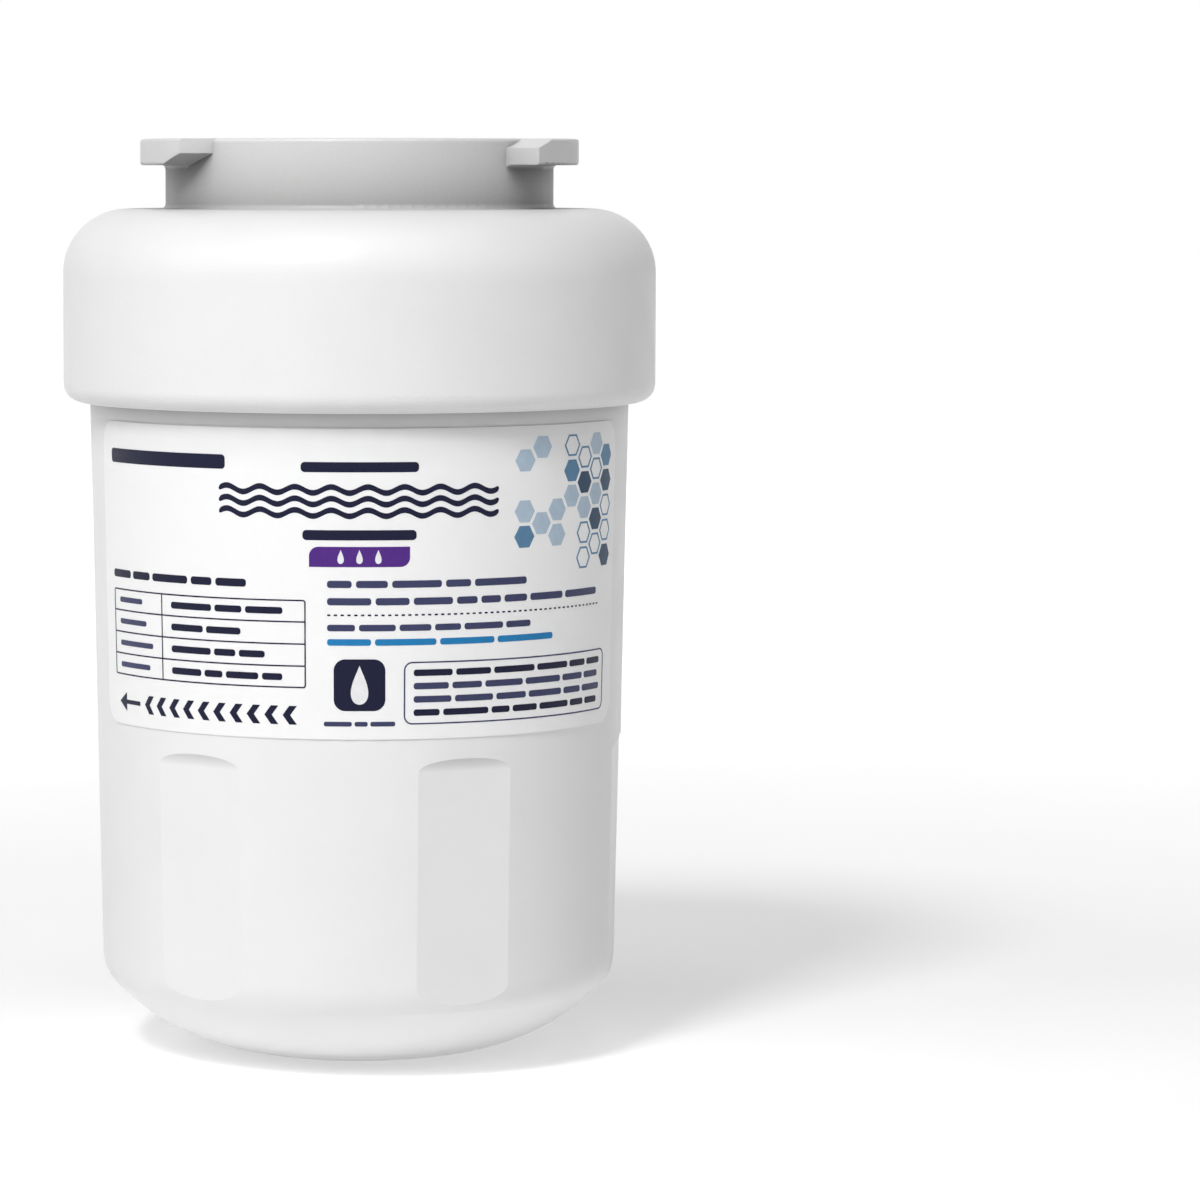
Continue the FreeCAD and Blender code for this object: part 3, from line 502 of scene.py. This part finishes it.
class Print:
    """All the fields of one ink, as one piece of closed ribbons."""

    def __init__(self, name, colour, lift=INK_LIFT):
        self.name = name
        self.colour = colour
        self.lift = lift
        self.mesh = bmesh.new()

    def ribbon(self, pairs, closed=False):
        """A field between two edges: pairs of points (u, z), the second on the left of the way."""
        rows = []
        for right, left in pairs:
            corners = [(right, self.lift), (left, self.lift), (left, INK_ROOT), (right, INK_ROOT)]
            rows.append([self.mesh.verts.new(on_film(*point, lift)) for point, lift in corners])
        spans = list(zip(rows, rows[1:]))
        if closed:
            spans.append((rows[-1], rows[0]))
        for start, end in spans:
            for side in range(4):
                after = (side + 1) % 4
                self.mesh.faces.new((start[side], end[side], end[after], start[after]))
        if not closed:
            self.mesh.faces.new(rows[0])
            self.mesh.faces.new(reversed(rows[-1]))

    def field(self, left, right, low, high, breaks=()):
        """A field between two heights, each a function of u, with extra cuts where it bends."""
        cuts = sorted({left, right, *breaks})
        stations = []
        for start, end in zip(cuts, cuts[1:]):
            count = max(1, math.ceil((end - start) / STEP))
            stations += [start + (end - start) * index / count for index in range(count)]
        stations.append(right)
        self.ribbon([((u, low(u)), (u, high(u))) for u in stations])

    def bar(self, area, corner):
        """A bar with round corners."""
        _, middle = area.middle

        def half(u):
            loss = corner_loss(u, area.left, area.right, corner)
            return max(SLIVER, (area.high - area.low) / 2 - loss)

        breaks = corner_cuts(area.left, area.right, corner)
        self.field(area.left, area.right, lambda u: middle - half(u), lambda u: middle + half(u), breaks)

    def words(self, area, longest, rng):
        """A line of word-length bars."""
        height = area.high - area.low
        space = WORD_SPACE * height
        start = area.left
        while area.right - start > space:
            stop = start + rng.uniform(WORD_SHORTEST, 1.0) * longest
            if area.right - stop < WORD_REST * longest:
                stop = area.right
            self.bar(Area(start, stop, area.low, area.high), WORD_CORNER * height)
            start = stop + space

    def tab(self, area, corner):
        """A field with two opposite corners round and the other two square."""
        far = 2 * (area.right - area.left)

        def low(u):
            return area.low + corner_loss(u, area.left - far, area.right, corner)

        def high(u):
            return area.high - corner_loss(u, area.left, area.right + far, corner)

        self.field(area.left, area.right, low, high, corner_cuts(area.left, area.right, corner))

    def wave(self, left, right, level, rise, length, width):
        """A wavy line with round ends."""
        count = math.ceil((right - left) / length * 2 * CORNER_STEPS)
        breaks = [left + (right - left) * index / count for index in range(count)]
        breaks += corner_cuts(left, right, width / 2)

        def middle(u):
            return level + rise * math.sin(2 * math.pi * (u - left) / length)

        def half(u):
            return max(SLIVER, width / 2 - corner_loss(u, left, right, width / 2))

        self.field(left, right, lambda u: middle(u) - half(u), lambda u: middle(u) + half(u), breaks)

    def chevron(self, tip, low, high, width, slant):
        """An angle that points to the left."""
        middle = (low + high) / 2
        pairs = []
        for z in (low, middle, high):
            left = tip + slant * abs(z - middle)
            pairs.append(((left + width, z), (left, z)))
        self.ribbon(pairs)

    def drop(self, u, z, reach):
        """A water drop, that far up and down from its middle."""
        count = 4 * CORNER_STEPS
        pairs = []
        for index in range(count + 1):
            angle = math.pi * (1 - index / count)
            half = SLIVER + DROP_WIDTH * reach * math.sin(angle) * math.sin(angle / 2) ** DROP_TAPER
            level = z + reach * math.cos(angle)
            pairs.append(((u + half, level), (u - half, level)))
        self.ribbon(pairs)

    def hexagon(self, u, z, reach):
        """A hexagon with corners to the left and the right."""
        def half(x):
            slope = math.sqrt(3) * (reach - abs(x - u))
            return max(SLIVER, min(reach * math.sqrt(0.75), slope))

        breaks = (u - reach / 2, u + reach / 2)
        self.field(u - reach, u + reach, lambda x: z - half(x), lambda x: z + half(x), breaks)

    def loop(self, outline, width):
        """A closed line of that width inside an anticlockwise outline."""
        pairs = []
        for before, point, after in zip(outline[-1:] + outline[:-1], outline, outline[1:] + outline[:1]):
            way = (after - before).normalized()
            pairs.append((point, point + width * Vector((-way.y, way.x))))
        self.ribbon(pairs, closed=True)

    def finish(self):
        """Makes the piece, with its ink."""
        data = bpy.data.meshes.new(self.name)
        bmesh.ops.recalc_face_normals(self.mesh, faces=self.mesh.faces)
        self.mesh.to_mesh(data)
        self.mesh.free()
        data.materials.append(ink(f"{self.name}_ink", self.colour))
        piece = bpy.data.objects.new(self.name, data)
        bpy.context.scene.collection.objects.link(piece)
        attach(piece, "root")


rng = random.Random(SEED)
navy = Print("print_navy", linear(14, 17, 48))
slate = Print("print_slate", linear(62, 66, 100))
purple = Print("print_purple", linear(84, 42, 134))
blue = Print("print_blue", linear(36, 130, 190))
mist = Print("print_mist", linear(186, 205, 222))
lake = Print("print_lake", linear(96, 138, 172))
deep = Print("print_deep", linear(46, 72, 100))
paper = Print("print_paper", linear(244, 244, 246), lift=OVERPRINT)

# Headings: bars, three waves, and a tab with drops
HEADINGS = (
    Area(-43.3, -19.3, 86.4, 88.4),
    Area(-8.1, 8.2, 86.2, 87.6),
    Area(-7.9, 7.9, 76.8, 78.2),
)
HEADING_CORNER = 0.55
WAVE_LEFT = -20.3
WAVE_RIGHT = 20.1
WAVE_LEVELS = (80.55, 82.15, 83.75)
WAVE_RISE = 0.42
WAVE_LENGTH = 5.05
WAVE_WIDTH = 0.8
TAB = Area(-7.0, 7.0, 73.1, 75.9)
TAB_CORNER = 1.3
TAB_DROPS = 3
TAB_DROP_PITCH = 2.6
TAB_DROP_REACH = 0.95

for heading in HEADINGS:
    navy.bar(heading, HEADING_CORNER)
for level in WAVE_LEVELS:
    navy.wave(WAVE_LEFT, WAVE_RIGHT, level, WAVE_RISE, WAVE_LENGTH, WAVE_WIDTH)
purple.tab(TAB, TAB_CORNER)
tab_middle, tab_level = TAB.middle
for index in range(TAB_DROPS):
    place = tab_middle + TAB_DROP_PITCH * (index - (TAB_DROPS - 1) / 2)
    paper.drop(place, tab_level, TAB_DROP_REACH)

# Table: a title, and rows with a name and figures, whose heights are above the row's base
TITLE = Area(-43.3, -16.2, 70.1, 71.2)
TITLE_WORD = 9                  # longest word
TABLE = Area(-43.3, -7.5, 56.2, 68.5)
TABLE_CORNER = 0.4
TABLE_LINE = 0.2
DIVIDER = -31.0                 # middle of the line between the names and the figures
ROWS = 4
ROW_HEIGHT = (TABLE.high - TABLE.low) / ROWS
NAME_INDENT = 1.8
NAME_LOW = 1.15
NAME_HIGH = 1.9
NAME_CORNER = 0.3
NAME_GAP = (1.8, 4.5)           # least and most room after a name
FIGURES_INDENT = 1.9
FIGURES_LOW = 1.05
FIGURES_HIGH = 2.0
FIGURES_WORD = 8
FIGURES_GAP = (3.0, 10.0)

divider_left = DIVIDER - TABLE_LINE / 2
divider_right = DIVIDER + TABLE_LINE / 2
navy.words(TITLE, TITLE_WORD, rng)
navy.loop(box_outline(TABLE, TABLE_CORNER), TABLE_LINE)
navy.bar(Area(divider_left, divider_right, TABLE.low + TABLE_LINE, TABLE.high - TABLE_LINE), SLIVER)
for row in range(ROWS):
    base = TABLE.low + row * ROW_HEIGHT
    line = (base - TABLE_LINE / 2, base + TABLE_LINE / 2)
    if row:
        navy.bar(Area(TABLE.left + TABLE_LINE, divider_left, *line), SLIVER)
        navy.bar(Area(divider_right, TABLE.right - TABLE_LINE, *line), SLIVER)
    name_end = DIVIDER - rng.uniform(*NAME_GAP)
    slate.bar(Area(TABLE.left + NAME_INDENT, name_end, base + NAME_LOW, base + NAME_HIGH), NAME_CORNER)
    figures_end = TABLE.right - rng.uniform(*FIGURES_GAP)
    figures = Area(DIVIDER + FIGURES_INDENT, figures_end, base + FIGURES_LOW, base + FIGURES_HIGH)
    navy.words(figures, FIGURES_WORD, rng)

# Arrow and a row of chevrons
ARROW = Area(-42.1, -36.4, 51.1, 53.7)
ARROW_HEAD = 2.0                # length of its head
ARROW_SHAFT = 0.3               # half the height of its shaft
CHEVRONS = 10
CHEVRON_GAP = 1.2               # from the arrow to the first tip
CHEVRON_PITCH = 2.7
CHEVRON_WIDTH = 1.1
CHEVRON_SLANT = 0.75            # run of its legs to the right for their rise


def arrow_half(u):
    """Half the arrow's height: a head that widens from its tip, then a thin shaft."""
    if u > ARROW.left + ARROW_HEAD:
        return ARROW_SHAFT
    return SLIVER + (ARROW.high - ARROW.low) / 2 * (u - ARROW.left) / ARROW_HEAD


_, arrow_level = ARROW.middle
navy.field(
    ARROW.left,
    ARROW.right,
    lambda u: arrow_level - arrow_half(u),
    lambda u: arrow_level + arrow_half(u),
    (ARROW.left + ARROW_HEAD, ARROW.left + ARROW_HEAD + SLIVER),
)
for index in range(CHEVRONS):
    tip = ARROW.right + CHEVRON_GAP + CHEVRON_PITCH * index
    navy.chevron(tip, ARROW.low, ARROW.high, CHEVRON_WIDTH, CHEVRON_SLANT)

# Notes on the right: lines with their longest word, a dotted line and a box of small print
NOTE_LEFT = -4.5
NOTES = (
    (slate, Area(NOTE_LEFT, 25.0, 70.2, 71.2), 8),
    (slate, Area(NOTE_LEFT, 40.5, 67.8, 68.8), 8),
    (slate, Area(NOTE_LEFT, 25.8, 64.2, 65.1), 7),
    (blue, Area(NOTE_LEFT, 30.1, 62.2, 63.1), 12),
)
DOTS = 49
DOT_PITCH = 0.94
DOT_LOW = 66.3
DOT_HIGH = 66.53
DOT_CORNER = 0.08
BOX = Area(6.2, 43.3, 51.15, 59.9)
BOX_CORNER = 1.2
BOX_LINE = 0.2
BOX_ROWS = 4
BOX_FOOT = 1.2                  # from the box's lower edge to its lowest row
BOX_ROW_PITCH = 1.85
BOX_ROW_HEIGHT = 0.9
BOX_WORD = 7
BOX_INDENT = 1.4
BOX_GAP = (1.4, 2.4)            # least and most room after a row

for sheet, note, longest in NOTES:
    sheet.words(note, longest, rng)
for index in range(DOTS):
    start = NOTE_LEFT + DOT_PITCH * index
    navy.bar(Area(start, start + DOT_PITCH / 2, DOT_LOW, DOT_HIGH), DOT_CORNER)
slate.loop(box_outline(BOX, BOX_CORNER), BOX_LINE)
for row in range(BOX_ROWS):
    base = BOX.low + BOX_FOOT + BOX_ROW_PITCH * row
    row_end = BOX.right - rng.uniform(*BOX_GAP)
    sheet = navy if row in (0, BOX_ROWS - 1) else slate
    sheet.words(Area(BOX.left + BOX_INDENT, row_end, base, base + BOX_ROW_HEIGHT), BOX_WORD, rng)

# Plain water drop on a badge, with a line of small print under it
BADGE = Area(-3.6, 3.6, 53.1, 60.3)
BADGE_CORNER = 1.6
BADGE_DROP_REACH = 2.7
BADGE_PRINT = Area(-5.0, 5.0, 50.95, 51.6)
BADGE_WORD = 5

navy.bar(BADGE, BADGE_CORNER)
paper.drop(*BADGE.middle, BADGE_DROP_REACH)
slate.words(BADGE_PRINT, BADGE_WORD, rng)

# Honeycomb on the right, thinning out to the left
COMB = Area(24.5, 45.0, 73.2, 91.2)
COMB_PITCH = 2.05               # from the middle of a cell to its corners
COMB_COLUMNS = 8
COMB_ROWS = 6
COMB_LEAD = 3.0                 # how far left of the comb the last hexagons would thin out to none
HEXAGON = 1.75                  # from the middle of a hexagon to its corners
HEXAGON_LINE = 0.3
OUTLINED = 0.2                  # up to this draw a hexagon is an outline,
MISTY = 0.6                     # up to this it is pale,
MEDIUM = 0.85                   # up to this it is of a middle blue, and beyond it is dark

for column in range(COMB_COLUMNS):
    for row in range(COMB_ROWS):
        u = COMB.left + 1.5 * COMB_PITCH * column
        z = COMB.low + math.sqrt(3) * COMB_PITCH * (row + 0.5 * (column % 2))
        chance = rng.random()
        shade = rng.random()
        outside = u + HEXAGON > COMB.right or z + HEXAGON > COMB.high
        if outside or chance > (u - COMB.left + COMB_LEAD) / (COMB.right - COMB.left):
            continue
        if shade < OUTLINED:
            lake.loop(hexagon_outline(u, z, HEXAGON), HEXAGON_LINE)
        elif shade < MISTY:
            mist.hexagon(u, z, HEXAGON)
        elif shade < MEDIUM:
            lake.hexagon(u, z, HEXAGON)
        else:
            deep.hexagon(u, z, HEXAGON)

for sheet in (navy, slate, purple, blue, mist, lake, deep, paper):
    sheet.finish()


# Stage: pale floor, soft light, white surroundings
FLOOR_RADIUS = 6.0
FLOOR_SIDES = 96
FLOOR_COLOUR = (0.88, 0.88, 0.88)
FLOOR_NEAR = 0.15               # within this the floor is lit by the lamps and a slight glow
FLOOR_FAR = 0.9                 # beyond this it looks white, as the surroundings do
FLOOR_GLOW = 0.35
UNDERGLOW = 0.195               # what the floor itself gives to the cartridge above it
LAMP_DISTANCE = 1.2


def white_rays(nodes, links):
    """One for the rays that see the surroundings as white: camera, glossy and transmission rays."""
    path = nodes.new("ShaderNodeLightPath")
    total = path.outputs["Is Camera Ray"]
    for name in ("Is Glossy Ray", "Is Transmission Ray"):
        either = nodes.new("ShaderNodeMath")
        either.operation = "MAXIMUM"
        links.new(total, either.inputs[0])
        links.new(path.outputs[name], either.inputs[1])
        total = either.outputs[0]
    return total


def add_floor():
    """A pale floor that keeps the shadow near the cartridge and looks white far off."""
    mesh = bmesh.new()
    bmesh.ops.create_circle(mesh, cap_ends=True, segments=FLOOR_SIDES, radius=FLOOR_RADIUS)
    data = bpy.data.meshes.new("floor")
    mesh.to_mesh(data)
    mesh.free()
    floor = bpy.data.objects.new("floor", data)
    bpy.context.scene.collection.objects.link(floor)
    shader = Shader("floor_paper")
    shader.feed("Base Color", shader.mottle(shader.noise(size_mm=40, detail=3), FLOOR_COLOUR, darkest=0.98))
    shader.set(Roughness=0.9, Specular_IOR_Level=0.1, Emission_Color=(1, 1, 1, 1))
    fade = shader.between(shader.off_axis(), FLOOR_NEAR, FLOOR_FAR, FLOOR_GLOW, 1.0)
    glow = shader.nodes.new("ShaderNodeMix")
    glow.inputs["A"].default_value = UNDERGLOW
    shader.links.new(white_rays(shader.nodes, shader.links), glow.inputs["Factor"])
    shader.links.new(fade, glow.inputs["B"])
    shader.feed("Emission Strength", glow.outputs["Result"])
    data.materials.append(shader.material)


def add_world():
    """Surroundings that look white and give no light: that comes from the lamps and the floor."""
    world = bpy.data.worlds.new("studio")
    bpy.context.scene.world = world
    world.use_nodes = True
    background = world.node_tree.nodes["Background"]
    background.inputs["Color"].default_value = (1, 1, 1, 1)
    white = white_rays(world.node_tree.nodes, world.node_tree.links)
    world.node_tree.links.new(white, background.inputs["Strength"])


def add_softbox(name, azimuth, elevation, size, watts, glossy=True):
    """A square lamp that looks at the middle of the cartridge; azimuth 0 is the front."""
    middle = Vector((0, 0, (cad_box[0][2] + cad_box[1][2]) / 2))
    turn = math.radians(azimuth)
    rise = math.radians(elevation)
    way = Vector((math.sin(turn) * math.cos(rise), -math.cos(turn) * math.cos(rise), math.sin(rise)))
    data = bpy.data.lights.new(name, "AREA")
    data.shape = "SQUARE"
    data.size = size
    data.energy = watts
    lamp = bpy.data.objects.new(name, data)
    lamp.location = middle + way * LAMP_DISTANCE
    lamp.rotation_euler = way.to_track_quat("Z", "Y").to_euler()
    lamp.visible_glossy = glossy
    bpy.context.scene.collection.objects.link(lamp)


add_floor()
add_world()
add_softbox("key_softbox", azimuth=-25, elevation=45, size=0.25, watts=6.85)
add_softbox("left_softbox", azimuth=-60, elevation=30, size=0.8, watts=2.85)
add_softbox("right_softbox", azimuth=45, elevation=33, size=0.8, watts=1.5)
add_softbox("top_softbox", azimuth=10, elevation=68, size=0.8, watts=3.4)
add_softbox("back_softbox", azimuth=180, elevation=25, size=1.0, watts=2.6, glossy=False)

# Camera: level with the neck and looking slightly down, the cartridge left of the middle
CAMERA_PLACE = (0, -0.7093, 0.12749)
CAMERA_TILT = 5.023             # degrees below the level
CAMERA_LENS = 146.43            # millimetres, as the sensor is
CAMERA_SENSOR = 36
PICTURE = 1200
AXIS_PIXEL = 359.5              # where the cartridge's axis lies across the picture

camera_data = bpy.data.cameras.new("camera")
camera_data.sensor_width = CAMERA_SENSOR
camera_data.lens = CAMERA_LENS
camera_data.shift_x = 0.5 - AXIS_PIXEL / PICTURE
camera = bpy.data.objects.new("camera", camera_data)
camera.location = CAMERA_PLACE
camera.rotation_euler = (math.radians(90 - CAMERA_TILT), 0, 0)
bpy.context.scene.collection.objects.link(camera)
bpy.context.scene.camera = camera
bpy.context.scene.view_settings.view_transform = "Standard"
